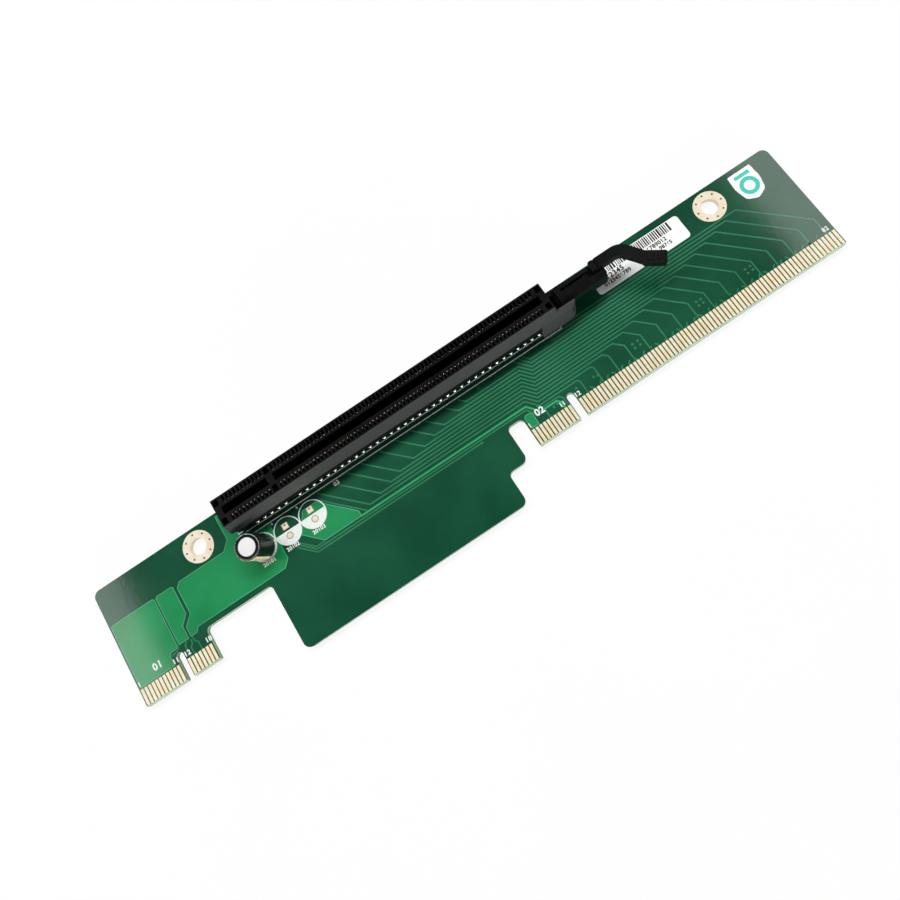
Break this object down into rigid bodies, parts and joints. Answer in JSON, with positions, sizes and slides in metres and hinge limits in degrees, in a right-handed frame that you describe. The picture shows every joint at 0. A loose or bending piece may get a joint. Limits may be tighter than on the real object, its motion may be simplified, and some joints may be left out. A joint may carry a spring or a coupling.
{
  "type": "pcie riser card",
  "caption": "Flat green riser board with a short and a long gold card-edge tongue, a long black card socket with a hinged retention latch, and bolt holes.",
  "frame": {"origin": "bottom centre of the bounding box, under the middle of the card", "axes": "+X along the board towards the latch end, +Y from the contact tongues to the long top edge, +Z out of the component face; the card lies flat"},
  "size_m": [0.193, 0.0398, 0.0139],
  "materials": {
    "solder_mask": "satin green solder mask over glass-fibre laminate",
    "gold_plate": "polished gold plating",
    "tinned_copper": "bright tinned",
    "solder": "satin solder",
    "socket_plastic": "satin moulded",
    "latch_plastic": "satin moulded",
    "contact_alloy": "selectively gold-plated spring alloy",
    "can_aluminium": "bright pressed",
    "sleeve_film": "glossy shrunk film",
    "bung_rubber": "matte",
    "label_paper": "satin coated label"
  },
  "bodies": {
    "card": {"circuit_board": "solder_mask", "x16_fingers_front": "gold_plate", "x16_fingers_back": "gold_plate", "x1_fingers_front": "gold_plate", "x1_fingers_back": "gold_plate", "mounting_hole_left": "tinned_copper", "mounting_hole_right": "tinned_copper", "socket_housing": "socket_plastic", "contacts_front_inner": "contact_alloy", "contacts_front_outer": "contact_alloy", "contacts_rear_inner": "contact_alloy", "contacts_rear_outer": "contact_alloy", "capacitor_can": "can_aluminium", "capacitor_sleeve": "sleeve_film", "capacitor_bung": "bung_rubber", "capacitor_leads": "tinned_copper", "socket_joints": "solder", "empty_pads_square": "tinned_copper", "empty_pads_round": "tinned_copper", "barcode_label": "label_paper", "shield_label": "label_paper"},
    "latch": {"retention_latch": "latch_plastic"}
  },
  "joints": [
    {"name": "latch_hinge", "type": "hinge", "parent": "card", "child": "latch", "pos_m": [0.03535, 0.01517, 0.00707], "axis": [0, 1, 0], "range_deg": [0, 14]}
  ]
}
